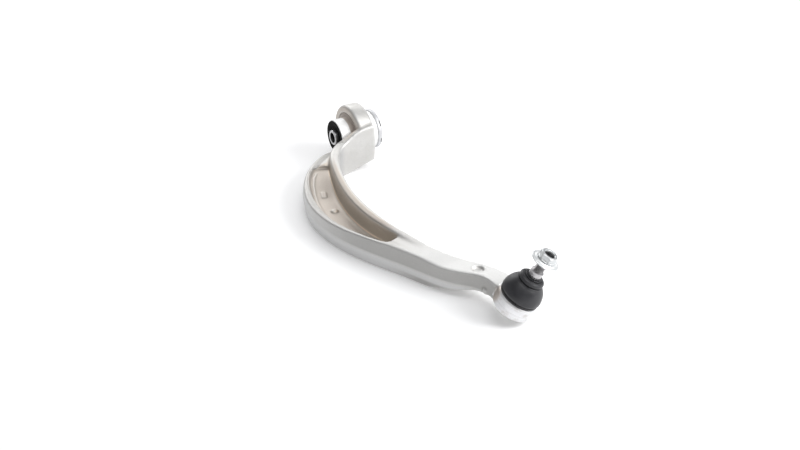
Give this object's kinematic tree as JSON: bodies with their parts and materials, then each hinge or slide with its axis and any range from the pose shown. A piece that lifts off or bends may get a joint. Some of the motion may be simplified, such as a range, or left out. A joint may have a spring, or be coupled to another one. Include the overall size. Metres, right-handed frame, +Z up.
{
  "type": "suspension control arm",
  "caption": "Curved forged lower control arm with a hydraulic bush in its eye and an inclined, booted ball joint carrying a shank, washer and collar nut.",
  "frame": {"origin": "middle of the bush sleeve bore, on the bush bolt axis", "axes": "+Y along the bush bolt axis towards the hollow side of the arm, +X towards the ball joint, +Z up when the arm lies flat"},
  "size_m": [0.4378, 0.1478, 0.0777],
  "materials": {
    "forged_aluminium": "bead blasted forging",
    "can_metal": "smooth turned",
    "flange_metal": "smooth turned",
    "sleeve_steel": "turned steel",
    "core_metal": "cast",
    "bush_rubber": "moulded rubber",
    "inner_plastic": "moulded",
    "seal_rubber": "moulded rubber",
    "stud_steel": "ground steel",
    "shell_plastic": "moulded acetal",
    "cap_steel": "plated",
    "boot_rubber": "satin rubber",
    "ring_steel": "dark spring steel",
    "nut_zinc": "bright zinc"
  },
  "bodies": {
    "arm": {"arm_forging": "forged_aluminium", "bush_can": "can_metal", "bush_flange_ring": "flange_metal", "bush_rubber_body": "bush_rubber", "bush_cage": "inner_plastic", "channel_shell_upper": "inner_plastic", "channel_shell_lower": "inner_plastic", "chamber_seal_left": "seal_rubber", "chamber_seal_right": "seal_rubber", "travel_stop_upper": "seal_rubber", "travel_stop_lower": "seal_rubber", "bearing_shell": "shell_plastic", "preload_ring": "ring_steel", "closing_cap": "cap_steel", "dust_boot": "boot_rubber", "boot_base_ring": "ring_steel"},
    "bolt_core": {"bush_inner_sleeve": "sleeve_steel", "bush_inner_core": "core_metal"},
    "boot_neck": {"boot_neck_ring": "ring_steel", "boot_slide_ring": "ring_steel"},
    "stud": {"ball_stud": "stud_steel"},
    "washer": {"nut_washer": "nut_zinc"},
    "nut": {"collar_nut": "nut_zinc"}
  },
  "joints": [
    {"name": "bush_twist", "type": "hinge", "parent": "arm", "child": "bolt_core", "pos_m": [0, 0, 0], "axis": [0, 1, 0], "range_deg": [-18, 18], "stiffness_Nm_per_rad": 40},
    {"name": "stud_tilt", "type": "hinge", "parent": "arm", "child": "boot_neck", "pos_m": [0.3752, -0.0249, -0.0113], "axis": [-0.1158, 0.9311, -0.346], "range_deg": [-20, 20], "deforming": ["dust_boot"]},
    {"name": "stud_spin", "type": "hinge", "parent": "boot_neck", "child": "stud", "pos_m": [0.3752, -0.0249, -0.0113], "axis": [0.2954, 0.3648, 0.8829], "continuous": true},
    {"name": "washer_travel", "type": "slide", "parent": "stud", "child": "washer", "axis": [0.2954, 0.3648, 0.8829], "range_m": [-0.0075, 0.003]},
    {"name": "nut_spin", "type": "hinge", "parent": "washer", "child": "nut", "pos_m": [0.39056, -0.00593, 0.03461], "axis": [0.2954, 0.3648, 0.8829], "range_deg": [-1800, 720]}
  ],
  "couplings": [
    {"joint": "washer_travel", "follows": "nut_spin", "m_per_rad": 0.00023873}
  ]
}
